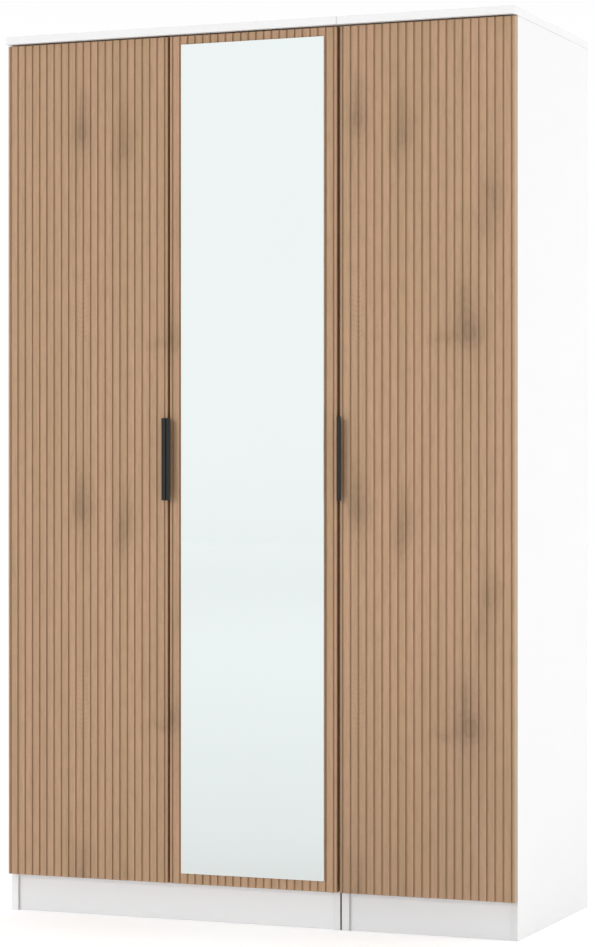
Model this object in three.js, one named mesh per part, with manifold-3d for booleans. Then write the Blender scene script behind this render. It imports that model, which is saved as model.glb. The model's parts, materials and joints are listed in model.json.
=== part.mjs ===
// A three-door wardrobe: a double unit and a single unit, bolted side by side.
//
// Millimetres. +X runs to the right as the doors are faced, +Y towards the wall, +Z up.
// The pieces are built with Y = 0 on the front edges of the side panels. The group is then moved
// along Y, so that the origin is on the floor in the middle of the whole wardrobe.

import * as THREE from 'three';
import { mergeVertices } from 'three/addons/utils/BufferGeometryUtils.js';
import Module from 'manifold-3d';

const wasm = await Module();
wasm.setup();

// ---------------------------------------------------------------- overall sizes
const moduleWidth = 370;             // one door's share of the width
const overallHeight = 1825;
const carcassDepth = 486;
const unitGap = 3.5;                 // between the two units' side panels
const topJoint = 0.6;                // between the two top panels
const contactGap = 0.3;              // between pieces that rest on each other

// ---------------------------------------------------------------- carcass boards
const boardThickness = 15;
const topThickness = 16;
const topOverhang = 27;              // in front of the side panels' front edges
const plinthHeight = 77;
const plinthSetback = 6;
const backThickness = 3;
const rearRailHeight = 80;
const shelfSpace = 309;              // clear height over the shelf
const shelfSetback = 22;

// ---------------------------------------------------------------- hanging rail
const railDiameter = 25;
const railWall = 1.2;
const railDrop = 45;                 // rail's axis below the shelf
const socketWall = 3;
const socketBase = 3;
const socketDepth = 9;
const socketFlangeRadius = 20;

// ---------------------------------------------------------------- doors
const doorThickness = 15;
const doorGap = 1.5;                 // behind a closed door
const hingeReveal = 0.75;            // from a door's hinge edge to its unit's outer face
const pairGap = 4.5;                 // between the double unit's two doors
const singleHandleReveal = 2.25;      // beside the single unit's door, for its handle
const doorTopGap = 2.5;
const groovePitch = 16.8;
const grooveWidth = 4.4;
const grooveFloorWidth = 3.2;
const grooveDepth = 2.5;
const leastEdgeSlat = 3.8;            // narrowest strip left outside the last groove

// ---------------------------------------------------------------- mirror
const mirrorThickness = 4;
const mirrorSideMargin = 27;
const mirrorTopMargin = 18.5;
const mirrorBottomMargin = 22;

// ---------------------------------------------------------------- handles
const handleHeight = 168;
const handleThickness = 1.25;
const handleProjection = 15;         // in front of the door's face
const handleLip = 8.75;
const handleRearInset = 1;           // web's rear edge, from the back of the door
const handleAboveMiddle = 1.25;
const screwInset = 22;               // from each end of the handle
const screwHeadRadius = 3.2;
const screwShankRadius = 1.5;
const screwLength = 20;

// ---------------------------------------------------------------- hinges
const cupBoreRadius = 17.5;
const cupFromEdge = 22.5;            // cup's centre, from the door's edge
const cupWall = 1;
const cupFloor = 0.8;
const cupSkin = 1.2;                 // wood left between the bore and the grooves
const cupFlangeWidth = 26;
const cupFlangeHeight = 60;
const cupFlangeThickness = 0.9;
const hingeFromDoorEnd = 100;
const armHeight = 14;
const armReach = 7.5;                // how far the arm's tip enters the cup's bore
const armTipWidth = 10;
const armThickness = 11;
const armRear = 62;                  // arm's rear end, from the side panel's front edge
const plateThickness = 2.5;
const plateFront = 28;
const plateDepth = 18;
const plateHeight = 48;

// ---------------------------------------------------------------- connector bolts
const boltRadius = 3;
const boltHeadRadius = 8;
const boltHeadThickness = 2.5;
const boltFromEdge = 90;             // from the side panels' front and rear edges
const lowerBoltHeight = 300;         // above the floor
const upperBoltDrop = 209;           // below the top panel

// ---------------------------------------------------------------- round pieces' sides
const largeRoundSides = 20;
const smallRoundSides = 12;

// ---------------------------------------------------------------- sizes that follow
const underTop = overallHeight - topThickness;
const doubleWidth = 2 * moduleWidth - unitGap / 2;
const singleWidth = moduleWidth - unitGap / 2;
const doubleLeft = -1.5 * moduleWidth;
const singleLeft = 0.5 * moduleWidth + unitGap / 2;
const topLap = (unitGap - topJoint) / 2;   // how far a top reaches past its joined side panel
const backFront = carcassDepth - backThickness;
const shelfTop = underTop - shelfSpace;
const railZ = shelfTop - boardThickness - railDrop;
const railY = carcassDepth / 2;
const pairDoorWidth = (doubleWidth - 2 * hingeReveal - pairGap) / 2;
const singleDoorWidth = singleWidth - hingeReveal - singleHandleReveal;
const doorHeight = underTop - doorTopGap - plinthHeight;
const doorFront = -(doorGap + doorThickness);
const handleFront = doorFront - handleProjection;
const handleZ = plinthHeight + doorHeight / 2 + handleAboveMiddle;
const cupBoreDepth = doorThickness - grooveDepth - cupSkin;
const hingeHeights = {
  lower: plinthHeight + hingeFromDoorEnd,
  middle: plinthHeight + doorHeight / 2,
  upper: plinthHeight + doorHeight - hingeFromDoorEnd,
};

// ---------------------------------------------------------------- materials
function finish(color, roughness, metalness = 0) {
  return new THREE.MeshStandardMaterial({ color, roughness, metalness });
}

const whiteBoard = finish(0xf3f3f1, 0.45);
const oakBoard = finish(0xbd9b7e, 0.6);
const mirrorGlass = finish(0xeef5f5, 0.03, 1);
const blackMetal = finish(0x2b2a29, 0.5, 0.6);
const plainSteel = finish(0xb9bcbf, 0.35, 1);

// ---------------------------------------------------------------- solid helpers
function solid(geometry) {
  const bare = geometry.index ? geometry.toNonIndexed() : geometry.clone();
  bare.deleteAttribute('normal');
  bare.deleteAttribute('uv');
  const merged = mergeVertices(bare, 1e-4);
  const vertProperties = new Float32Array(merged.attributes.position.array);
  const triVerts = new Uint32Array(merged.index.array);
  return new wasm.Manifold(new wasm.Mesh({ numProp: 3, vertProperties, triVerts }));
}

function geometryOf(manifold) {
  const mesh = manifold.getMesh();
  const geometry = new THREE.BufferGeometry();
  geometry.setAttribute('position', new THREE.BufferAttribute(mesh.vertProperties, 3));
  geometry.setIndex(new THREE.BufferAttribute(mesh.triVerts, 1));
  geometry.computeVertexNormals();
  return geometry;
}

function cut(geometry, tools) {
  let result = solid(geometry);
  for (const tool of tools) result = result.subtract(solid(tool));
  return geometryOf(result);
}

function join(first, second) {
  return geometryOf(solid(first).add(solid(second)));
}

function block([x0, x1], [y0, y1], [z0, z1]) {
  const geometry = new THREE.BoxGeometry(x1 - x0, y1 - y0, z1 - z0);
  return geometry.translate((x0 + x1) / 2, (y0 + y1) / 2, (z0 + z1) / 2);
}

// The two X limits of a span that runs to the right (into 1) or to the left (into -1).
function span(into, near, far) {
  return into > 0 ? [near, far] : [-far, -near];
}

// An outline in plan, [x, y] points or a Shape, pulled up from z0 to z1.
function upright(outline, z0, z1) {
  const shape = outline instanceof THREE.Shape
    ? outline
    : new THREE.Shape(outline.map(([x, y]) => new THREE.Vector2(x, y)));
  const geometry = new THREE.ExtrudeGeometry(shape, { depth: z1 - z0, bevelEnabled: false });
  return geometry.translate(0, 0, z0);
}

// A turned piece from [radius, length] points. Its axis starts at the origin and runs along
// +X or -X (direction 1 or -1), or along +Y.
function turned(profile, sides) {
  return new THREE.LatheGeometry(profile.map(([r, h]) => new THREE.Vector2(r, h)), sides);
}

function alongX(geometry, direction) {
  return geometry.rotateZ(-direction * Math.PI / 2);
}

function rod(radius, length, sides) {
  return turned([[0, 0], [radius, 0], [radius, length], [0, length]], sides);
}

function node(name, geometry, material, x = 0, y = 0, z = 0) {
  const mesh = new THREE.Mesh(geometry, material);
  mesh.name = name;
  mesh.position.set(x, y, z);
  return mesh;
}

// ---------------------------------------------------------------- one carcass unit
// The unit's own frame has X = 0 on its left outer face.
function sidePanel(bolted) {
  const panel = block([0, boardThickness], [0, carcassDepth], [0, underTop - contactGap]);
  if (!bolted) return panel;
  const holeLength = 3 * boardThickness;
  const holes = boltPlaces().map(([y, z]) => (
    alongX(rod(boltRadius + contactGap, holeLength, smallRoundSides), 1)
      .translate(-boardThickness, y, z)
  ));
  return cut(panel, holes);
}

function railSocket(direction) {
  const outer = railDiameter / 2 + contactGap + socketWall;
  const bore = railDiameter / 2 + contactGap;
  const mouth = socketBase + socketDepth;
  const profile = [
    [0, 0], [socketFlangeRadius, 0], [socketFlangeRadius, socketBase], [outer, socketBase],
    [outer, mouth], [bore, mouth], [bore, socketBase], [0, socketBase],
  ];
  return alongX(turned(profile, largeRoundSides), direction);
}

function hangingRail(length) {
  const outer = railDiameter / 2;
  const inner = outer - railWall;
  const profile = [[inner, 0], [outer, 0], [outer, length], [inner, length], [inner, 0]];
  return alongX(turned(profile, largeRoundSides), 1);
}

function carcassUnit(prefix, width, boltedSide) {
  const unit = new THREE.Group();
  const left = boardThickness + contactGap;
  const right = width - boardThickness - contactGap;
  const inside = [left, right];
  const topOfInside = underTop - contactGap;
  const behind = backFront - contactGap;
  const board = (part, ...spans) => unit.add(node(`${prefix}_${part}`, block(...spans), whiteBoard));

  unit.add(node(`${prefix}_left_side`, sidePanel(boltedSide === 'left'), whiteBoard));
  unit.add(node(`${prefix}_right_side`, sidePanel(boltedSide === 'right'), whiteBoard,
    width - boardThickness));
  const topLeft = boltedSide === 'left' ? -topLap : 0;
  const topRight = boltedSide === 'right' ? width + topLap : width;
  board('top', [topLeft, topRight], [-topOverhang, carcassDepth], [underTop, overallHeight]);
  board('bottom', inside, [0, behind], [plinthHeight, plinthHeight + boardThickness]);
  board('back_panel', inside, [backFront, carcassDepth], [plinthHeight, topOfInside]);
  board('plinth', inside, [plinthSetback, plinthSetback + boardThickness],
    [0, plinthHeight - contactGap]);
  board('rear_plinth', inside, [carcassDepth - boardThickness, carcassDepth],
    [0, plinthHeight - contactGap]);
  board('rear_rail', inside, [behind - boardThickness, behind],
    [topOfInside - rearRailHeight, topOfInside]);
  board('shelf', inside, [shelfSetback, behind], [shelfTop - boardThickness, shelfTop]);

  const railEnd = left + socketBase + contactGap;
  unit.add(node(`${prefix}_rail_socket_left`, railSocket(1), plainSteel, left, railY, railZ));
  unit.add(node(`${prefix}_rail_socket_right`, railSocket(-1), plainSteel, right, railY, railZ));
  unit.add(node(`${prefix}_hanging_rail`, hangingRail(width - 2 * railEnd), plainSteel,
    railEnd, railY, railZ));
  return unit;
}

// ---------------------------------------------------------------- connector bolts
function boltPlaces() {
  const depths = [boltFromEdge, carcassDepth - boltFromEdge];
  const heights = [lowerBoltHeight, underTop - upperBoltDrop];
  return heights.flatMap((z) => depths.map((y) => [y, z]));
}

function connectorBolt() {
  const grip = 2 * boardThickness + unitGap + 2 * contactGap;
  const end = grip + 2 * boltHeadThickness;
  const profile = [
    [0, 0], [boltHeadRadius, 0], [boltHeadRadius, boltHeadThickness],
    [boltRadius, boltHeadThickness], [boltRadius, end - boltHeadThickness],
    [boltHeadRadius, end - boltHeadThickness], [boltHeadRadius, end], [0, end],
  ];
  return alongX(turned(profile, smallRoundSides), 1);
}

function connectorBolts() {
  const bolts = new THREE.Group();
  const start = singleLeft - unitGap - boardThickness - contactGap - boltHeadThickness;
  const names = ['lower_front', 'lower_rear', 'upper_front', 'upper_rear'];
  boltPlaces().forEach(([y, z], i) => {
    bolts.add(node(`connector_bolt_${names[i]}`, connectorBolt(), plainSteel, start, y, z));
  });
  return bolts;
}

// ---------------------------------------------------------------- doors
// A door's own frame has X = 0 on its hinge edge and Y = 0 on its front face. Into is +1 where
// the door runs to the right of its hinges and -1 where it runs to the left.
function doorOutline(into, width) {
  const usable = width - 2 * leastEdgeSlat - grooveWidth;
  const spaces = Math.floor(usable / groovePitch);
  const firstGroove = (width - spaces * groovePitch) / 2;
  const outline = [[0, doorThickness], [0, 0]];
  for (let i = 0; i <= spaces; i += 1) {
    const centre = firstGroove + i * groovePitch;
    outline.push([centre - grooveWidth / 2, 0]);
    outline.push([centre - grooveFloorWidth / 2, grooveDepth]);
    outline.push([centre + grooveFloorWidth / 2, grooveDepth]);
    outline.push([centre + grooveWidth / 2, 0]);
  }
  outline.push([width, 0], [width, doorThickness]);
  return outline.map(([x, y]) => [into * x, y]);
}

function screwPlaces() {
  const reach = handleHeight / 2 - screwInset;
  return { lower: handleZ - reach, upper: handleZ + reach };
}

// The screw's profile from its head's outer face, grown all round for the hole it needs.
function screwProfile(grown) {
  const head = screwHeadRadius + grown;
  const shank = screwShankRadius + grown;
  const end = screwLength + grown;
  return [
    [0, -grown], [head, -grown], [head, contactGap], [shank, handleThickness],
    [shank, end], [0, end],
  ];
}

function screwHole(into, width, z) {
  return alongX(turned(screwProfile(contactGap), smallRoundSides), -into)
    .translate(into * (width + handleThickness), doorThickness / 2, z);
}

function doorBoard(into, width) {
  const board = upright(doorOutline(into, width), plinthHeight, plinthHeight + doorHeight);
  const bores = Object.values(hingeHeights).map((z) => (
    rod(cupBoreRadius, cupBoreDepth + doorThickness, largeRoundSides)
      .translate(into * cupFromEdge, doorThickness - cupBoreDepth, z)
  ));
  const holes = Object.values(screwPlaces()).map((z) => screwHole(into, width, z));
  return cut(board, [...bores, ...holes]);
}

function handle(into, width) {
  const outside = width + handleThickness;
  const rear = doorThickness - handleRearInset;
  const front = -handleProjection;
  const outline = [
    [width + contactGap, rear], [outside, rear], [outside, front], [outside - handleLip, front],
    [outside - handleLip, front + handleThickness], [width + contactGap, front + handleThickness],
  ].map(([x, y]) => [into * x, y]);
  const bar = upright(outline, handleZ - handleHeight / 2, handleZ + handleHeight / 2);
  return cut(bar, Object.values(screwPlaces()).map((z) => screwHole(into, width, z)));
}

function mirrorPane(into, width) {
  return block(
    span(into, mirrorSideMargin, width - mirrorSideMargin),
    [-contactGap - mirrorThickness, -contactGap],
    [plinthHeight + mirrorBottomMargin, plinthHeight + doorHeight - mirrorTopMargin],
  );
}

function hingeCup() {
  const radius = cupBoreRadius - contactGap;
  const rim = doorThickness + contactGap + cupFlangeThickness;
  const end = doorThickness - cupBoreDepth + contactGap;
  const well = end + cupFloor;
  const cup = turned([[0, end], [radius, end], [radius, rim], [0, rim]], largeRoundSides);
  const flange = block(
    [-cupFlangeWidth / 2, cupFlangeWidth / 2],
    [doorThickness + contactGap, rim],
    [-cupFlangeHeight / 2, cupFlangeHeight / 2],
  );
  const hollow = rod(radius - cupWall, doorThickness, largeRoundSides).translate(0, well, 0);
  return cut(join(cup, flange), [hollow]);
}

function doorGroup(door) {
  const group = new THREE.Group();
  const into = -door.hingeSide;
  group.position.set(door.hingeX, doorFront, 0);
  group.add(node(door.name, doorBoard(into, door.width), oakBoard));
  if (door.hasMirror) group.add(node('mirror', mirrorPane(into, door.width), mirrorGlass));
  group.add(node(`${door.name}_handle`, handle(into, door.width), blackMetal));
  for (const [place, z] of Object.entries(screwPlaces())) {
    const screw = alongX(turned(screwProfile(0), smallRoundSides), -into);
    group.add(node(`${door.name}_handle_screw_${place}`, screw, plainSteel,
      into * (door.width + handleThickness), doorThickness / 2, z));
  }
  for (const [place, z] of Object.entries(hingeHeights)) {
    group.add(node(`${door.name}_hinge_cup_${place}`, hingeCup(), plainSteel,
      into * cupFromEdge, 0, z));
  }
  return group;
}

// ---------------------------------------------------------------- hinge arms
// The arm's own frame has X = 0 on the side panel's inner face and Y = 0 on its front edge.
function hingeArm(into, cupX) {
  const tipNear = cupX - armTipWidth / 2;
  const tipFar = cupX + armTipWidth / 2;
  const tip = -(doorGap + armReach);
  const bend = 8;
  const outline = [
    [contactGap, armRear], [contactGap, bend + 4], [tipNear, bend], [tipNear, tip],
    [tipFar, tip], [tipFar, bend], [armThickness, bend + 4], [armThickness, armRear - 6],
    [armThickness - 3, armRear],
  ].map(([x, y]) => [into * x, y]);
  const arm = upright(outline, -armHeight / 2, armHeight / 2);
  const plate = block(
    span(into, contactGap, contactGap + plateThickness),
    [plateFront, plateFront + plateDepth],
    [-plateHeight / 2, plateHeight / 2],
  );
  return join(arm, plate);
}

function hingeArms(door) {
  const arms = new THREE.Group();
  const into = -door.hingeSide;
  const innerX = door.panelX + into * boardThickness;
  const cupX = Math.abs(door.hingeX + into * cupFromEdge - innerX);
  for (const [place, z] of Object.entries(hingeHeights)) {
    arms.add(node(`${door.name}_hinge_arm_${place}`, hingeArm(into, cupX), plainSteel,
      innerX, 0, z));
  }
  return arms;
}

// ---------------------------------------------------------------- the whole wardrobe
// panelX is the outer face of the side panel that carries the door.
function doorList() {
  const doubleRight = doubleLeft + doubleWidth;
  const singleRight = singleLeft + singleWidth;
  return [
    {
      name: 'left_door', hingeSide: -1, width: pairDoorWidth,
      panelX: doubleLeft, hingeX: doubleLeft + hingeReveal,
    },
    {
      name: 'centre_door', hingeSide: 1, width: pairDoorWidth, hasMirror: true,
      panelX: doubleRight, hingeX: doubleRight - hingeReveal,
    },
    {
      name: 'right_door', hingeSide: 1, width: singleDoorWidth,
      panelX: singleRight, hingeX: singleRight - hingeReveal,
    },
  ];
}

function wardrobe() {
  const group = new THREE.Group();
  const doubleUnit = carcassUnit('double', doubleWidth, 'right');
  const singleUnit = carcassUnit('single', singleWidth, 'left');
  doubleUnit.position.x = doubleLeft;
  singleUnit.position.x = singleLeft;
  group.add(doubleUnit, singleUnit, connectorBolts());
  for (const door of doorList()) group.add(doorGroup(door), hingeArms(door));
  group.position.y = -(carcassDepth + Math.min(handleFront, -topOverhang)) / 2;
  return group;
}

const group = wardrobe();

export default group;
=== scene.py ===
import json
import math

import bmesh
import bpy
from bpy.props import (
    FloatProperty, FloatVectorProperty, IntProperty, PointerProperty,
)
from mathutils import Matrix, Vector


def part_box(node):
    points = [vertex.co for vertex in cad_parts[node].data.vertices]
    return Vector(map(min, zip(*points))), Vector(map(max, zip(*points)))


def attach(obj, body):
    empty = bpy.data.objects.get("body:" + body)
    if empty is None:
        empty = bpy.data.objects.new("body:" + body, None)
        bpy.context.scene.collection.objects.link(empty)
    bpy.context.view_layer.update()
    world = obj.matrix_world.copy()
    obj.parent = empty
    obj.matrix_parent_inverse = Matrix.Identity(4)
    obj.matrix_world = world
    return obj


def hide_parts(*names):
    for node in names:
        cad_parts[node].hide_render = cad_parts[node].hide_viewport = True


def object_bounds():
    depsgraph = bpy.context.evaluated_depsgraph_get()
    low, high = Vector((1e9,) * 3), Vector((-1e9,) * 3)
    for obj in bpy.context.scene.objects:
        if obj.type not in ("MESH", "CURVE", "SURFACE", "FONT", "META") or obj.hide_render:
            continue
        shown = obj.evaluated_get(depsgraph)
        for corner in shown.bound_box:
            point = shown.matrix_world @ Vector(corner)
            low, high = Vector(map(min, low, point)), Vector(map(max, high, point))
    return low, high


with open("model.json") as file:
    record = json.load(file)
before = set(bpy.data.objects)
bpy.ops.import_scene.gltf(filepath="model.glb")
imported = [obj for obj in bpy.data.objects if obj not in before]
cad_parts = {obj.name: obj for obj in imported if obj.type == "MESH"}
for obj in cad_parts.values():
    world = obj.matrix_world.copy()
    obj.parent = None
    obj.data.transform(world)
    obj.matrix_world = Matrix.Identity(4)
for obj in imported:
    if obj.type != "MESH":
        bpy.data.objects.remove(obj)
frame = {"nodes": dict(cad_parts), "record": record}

bl_info = {
    "name": "Three-door wardrobe",
    "version": (1, 0, 0),
    "blender": (4, 5, 0),
    "location": "3D View > Sidebar > Wardrobe",
    "description": "Finishes a grooved three-door wardrobe around its fixed frame",
    "category": "Object",
}

MM = 0.001
CARCASS = "carcass"
CAD_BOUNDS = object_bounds()
DOORS = ("left", "centre", "right")
HINGES = ("lower", "middle", "upper")


# ------------------------------------------------------------------ node graphs
class Value:
    """A socket of a node graph, so that sums of sockets read as sums."""

    def __init__(self, graph, socket):
        self.graph = graph
        self.socket = socket

    def __add__(self, other):
        return self.graph.math("ADD", self, other)

    def __sub__(self, other):
        return self.graph.math("SUBTRACT", self, other)

    def __rsub__(self, other):
        return self.graph.math("SUBTRACT", other, self)

    def __mul__(self, other):
        return self.graph.math("MULTIPLY", self, other)

    def __truediv__(self, other):
        return self.graph.math("DIVIDE", self, other)

    __radd__ = __add__
    __rmul__ = __mul__


class Graph:
    """Adds nodes to a shader's or a geometry's node tree."""

    def __init__(self, tree):
        self.tree = tree
        tree.nodes.clear()

    def node(self, kind, settings=None, inputs=None, output=0):
        """A node of that kind: its settings first, then values or links for its sockets."""
        made = self.tree.nodes.new(kind)
        for name, value in (settings or {}).items():
            setattr(made, name, value)
        for key, value in (inputs or {}).items():
            if isinstance(value, Value):
                self.tree.links.new(value.socket, made.inputs[key])
            else:
                made.inputs[key].default_value = value
        if not made.outputs:
            return None
        return Value(self, made.outputs[output])

    def math(self, operation, *values):
        inputs = dict(enumerate(values))
        return self.node("ShaderNodeMath", {"operation": operation}, inputs)

    def mix(self, factor, first, second):
        """Colours first and second mixed by factor."""
        settings = {"data_type": "RGBA", "clamp_factor": True}
        return self.node("ShaderNodeMix", settings, {0: factor, 6: first, 7: second}, 2)

    def smooth(self, value, low, high):
        """0 where value is under low, 1 where it is over high, and smooth between."""
        settings = {"interpolation_type": "SMOOTHSTEP"}
        inputs = {"Value": value, "From Min": low, "From Max": high}
        return self.node("ShaderNodeMapRange", settings, inputs)

    def noise(self, vector, scale, detail=2.0, roughness=0.5):
        inputs = {"Vector": vector, "Scale": scale, "Detail": detail, "Roughness": roughness}
        return self.node("ShaderNodeTexNoise", {"normalize": True}, inputs, "Fac")

    def vector(self, x, y, z):
        return self.node("ShaderNodeCombineXYZ", None, {0: x, 1: y, 2: z})


def place_on_object(graph):
    """The object's own coordinates: the vector, then x, y and z."""
    place = graph.node("ShaderNodeTexCoord", output="Object")
    parts = [graph.node("ShaderNodeSeparateXYZ", None, {0: place}, axis) for axis in "XYZ"]
    return (place, *parts)


def new_material(name, build):
    """A material whose shader's sockets are what build(graph) returns."""
    material = bpy.data.materials.new(name)
    material.use_nodes = True
    graph = Graph(material.node_tree)
    shader = graph.node("ShaderNodeBsdfPrincipled", None, build(graph))
    graph.node("ShaderNodeOutputMaterial", None, {"Surface": shader})
    return material


def bump(graph, height, distance, strength=1.0):
    inputs = {"Strength": strength, "Distance": distance, "Height": height}
    return graph.node("ShaderNodeBump", None, inputs)


# ------------------------------------------------------------------ materials
# The layers of the foil's grain: how fine they are across and along the board (to a metre), a
# seed, how many octaves, and how rough.
GRAIN = {
    "wander": (30, 12, 0.0, 4, 0.60),
    "broad": (8, 0.9, 3.0, 2, 0.50),
    "streak": (48, 0.8, 7.0, 3, 0.55),
    "blush": (70, 9, 2.0, 3, 0.60),
    "fibre": (240, 5.0, 9.0, 3, 0.60),
    "fleck": (130, 30, 6.0, 3, 0.60),
    "fine": (700, 22, 4.0, 4, 0.60),
    "pore": (1500, 42, 5.0, 2, 0.50),
}
# The arched rings: from one to the next, how steeply they fall away from their axis, and where
# they fade in and out above and below the first knot.
RING_PITCH = 9.8 * MM
ARCH_FALL = 34
ARCHES_BELOW = (-0.47, -0.42)
ARCHES_ABOVE = (-0.36, -0.29)
# The print repeats along its length. These are its knots, from the first: how far to the right,
# how far up, half width, half height (metres), strength, and strength of its long tail.
PRINT_REPEAT = 0.782
PRINT_SEAM = 0.182
FIRST_KNOT_HEIGHT = 1.621
KNOTS = (
    (0.000, 0.000, 0.020, 0.033, 0.80, 0.38),
    (0.003, 0.058, 0.018, 0.036, 0.40, 0.00),
    (0.094, -0.040, 0.019, 0.036, 0.60, 0.34),
    (0.098, 0.018, 0.016, 0.034, 0.30, 0.00),
    (0.278, -0.166, 0.020, 0.032, 0.50, 0.38),
    (0.266, -0.228, 0.020, 0.030, 0.32, 0.00),
    (0.234, -0.426, 0.029, 0.036, 0.90, 0.45),
    (0.222, -0.362, 0.020, 0.036, 0.44, 0.00),
    (0.180, -0.438, 0.030, 0.015, 0.50, 0.00),
)


def knot_shade(graph, across, along, wander, fibre):
    """How strongly the knots, their rings and their long tails darken the print at a place."""
    total = 0.0
    for right, up, half_width, half_height, strength, tail_strength in KNOTS:
        sideways = (across - right + wander * 0.034) / half_width
        upwards = (along - up + wander * 0.070) / half_height
        squared = sideways * sideways + upwards * upwards
        core = graph.math("EXPONENT", squared * -1) * (fibre * 0.8 + 0.22)
        ring = graph.math("SINE", graph.math("SQRT", squared) * 11 + fibre * 6)
        halo = graph.math("EXPONENT", squared * -0.4)
        total = total + (core + halo * ring * 0.10) * strength
        if tail_strength:
            long = sideways * sideways * 0.8 + upwards * upwards * 0.09
            total = total + graph.math("EXPONENT", long * -1) * fibre * tail_strength
    return total


# Each door's cut of the print: how far from its left edge the first knot is, and how strongly
# painted shade darkens the foil towards the bottom and at the edges that meet another door.
PRINTS = {
    "left": (0.172, 0.12, 0.22),
    "centre": (-0.240, 0.12, 0.10),
    "right": (0.038, 0.36, 0.50),
}


def painted_edge_light_and_shade(graph, doors, colour, x, edge_x, behind_face, meeting_painted_shade):
    """Colour, with a painted highlight along an edge at the wardrobe's side and painted shade where
    two doors meet.
    """
    beside = graph.math("ABSOLUTE", x - edge_x)
    from_side = min(edge_x - CAD_BOUNDS[0].x, CAD_BOUNDS[1].x - edge_x)
    if from_side < 5 * MM:
        # painted highlight: the rounded outer edge made paler, as if it caught the light
        at_edge = 1 - graph.smooth(beside, 0.4 * MM, 2.0 * MM)
        return graph.mix(at_edge * 0.5, colour, (*doors.edge_highlight_oak, 1))
    # painted shade: the edges where two doors meet darkened, and more so deeper in the gap
    at_edge = 1 - graph.smooth(beside, 1.2 * MM, 4.4 * MM)
    inside = graph.smooth(behind_face, 1.0 * MM, 4.0 * MM)
    return graph.mix(at_edge * (inside * 0.44 + meeting_painted_shade), colour, (*doors.painted_shadow_oak, 1))


def oak_print(doors, door, low, high):
    """Warm oak foil for the board between two corners: tones, streaks, arched rings, fine grain,
    pores and knots, with painted shade in the grooves, towards the bottom and where doors meet,
    and a painted highlight along the edge at the wardrobe's side."""
    from_left, bottom_painted_shade, meeting_painted_shade = PRINTS[door]
    first_knot_x = low.x + from_left

    def build(graph):
        _, x, y, z = place_on_object(graph)
        behind_face = y - low.y
        across = x + behind_face - first_knot_x
        along = graph.math("WRAP", z - FIRST_KNOT_HEIGHT, PRINT_SEAM, PRINT_SEAM - PRINT_REPEAT)

        def layer(name, sideways):
            fine_across, fine_along, seed, octaves, rough = GRAIN[name]
            place = graph.vector(sideways * fine_across, seed, z * fine_along)
            return graph.noise(place, 1.0, octaves, rough)

        wander = layer("wander", across) - 0.5
        drift = across + wander * 0.004
        broad = layer("broad", across)
        streak, blush, fibre, fleck, fine, pore = (
            layer(name, drift) for name in ("streak", "blush", "fibre", "fleck", "fine", "pore")
        )
        open_pore = graph.smooth(pore, 0.62, 0.75)

        axis = across + wander * 0.012
        arch = along * -1 + axis * axis * ARCH_FALL + wander * 0.012
        ring = graph.math("SINE", arch * (2 * math.pi / RING_PITCH))
        near_axis = graph.math("EXPONENT", axis * axis * -900)
        on_arches = graph.smooth(along, *ARCHES_BELOW) - graph.smooth(along, *ARCHES_ABOVE)
        rings = ring * near_axis * (on_arches * 0.8 + 0.25)

        tone = graph.smooth(streak * 0.5 + broad * 0.25 + blush * 0.25, 0.34, 0.66)
        colour = graph.mix(tone, (*doors.olive_oak, 1), (*doors.rose_oak, 1))
        dark = graph.smooth(broad, 0.45, 0.75) * 0.12 + graph.smooth(fibre, 0.38, 0.78) * 0.34
        # painted shade: the foil darkened towards the bottom of the door, most on the right door
        dark = dark + (1 - graph.smooth(z, 0.10, 0.80)) * bottom_painted_shade
        colour = graph.mix(dark, colour, (*doors.band_and_painted_shade_oak, 1))
        knots = knot_shade(graph, across, along, wander, fibre)
        knotty = graph.math("MINIMUM", knots * 0.85, 0.8)
        colour = graph.mix(knotty, colour, (*doors.knot_oak, 1))
        grain = (fine - 0.5) * 0.66 + (fleck - 0.5) * 0.58 + rings * 0.085
        grain = grain + open_pore * 0.14
        colour = graph.mix(grain + 0.05, colour, (*doors.knot_oak, 1))
        # painted shade: the foil darkened down in the grooves, where shade falls
        deep = graph.smooth(behind_face, 0.02 * MM, 0.9 * MM)
        in_groove = graph.math("LESS_THAN", behind_face, doors.groove_depth + 0.3 * MM)
        groove = deep * in_groove * doors.groove_painted_shade
        colour = graph.mix(groove, colour, (*doors.painted_shadow_oak, 1))
        for edge_x in (low.x, high.x):
            colour = painted_edge_light_and_shade(graph, doors, colour, x, edge_x, behind_face, meeting_painted_shade)
        height = fine * 0.5 - open_pore + rings * 0.3
        return {
            "Base Color": colour,
            "Roughness": 0.52 + fine * 0.12,
            "Specular IOR Level": 0.3,
            "Normal": bump(graph, height, 0.06 * MM, 0.5),
        }

    return new_material(f"{door}_oak_print", build)


def melamine(name, white, shade):
    """White melamine: a satin skin with a very fine pebble."""

    def build(graph):
        place, _, _, _ = place_on_object(graph)
        pebble = graph.noise(place, 900, 2)
        cloud = graph.noise(place, 7, 3)
        tint = graph.mix(cloud * 0.35, (*white, 1), (*shade, 1))
        return {
            "Base Color": tint,
            "Roughness": 0.34 + pebble * 0.16,
            "Specular IOR Level": 0.4,
            "Normal": bump(graph, pebble, 0.06 * MM, 0.6),
        }

    return new_material(name, build)


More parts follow.
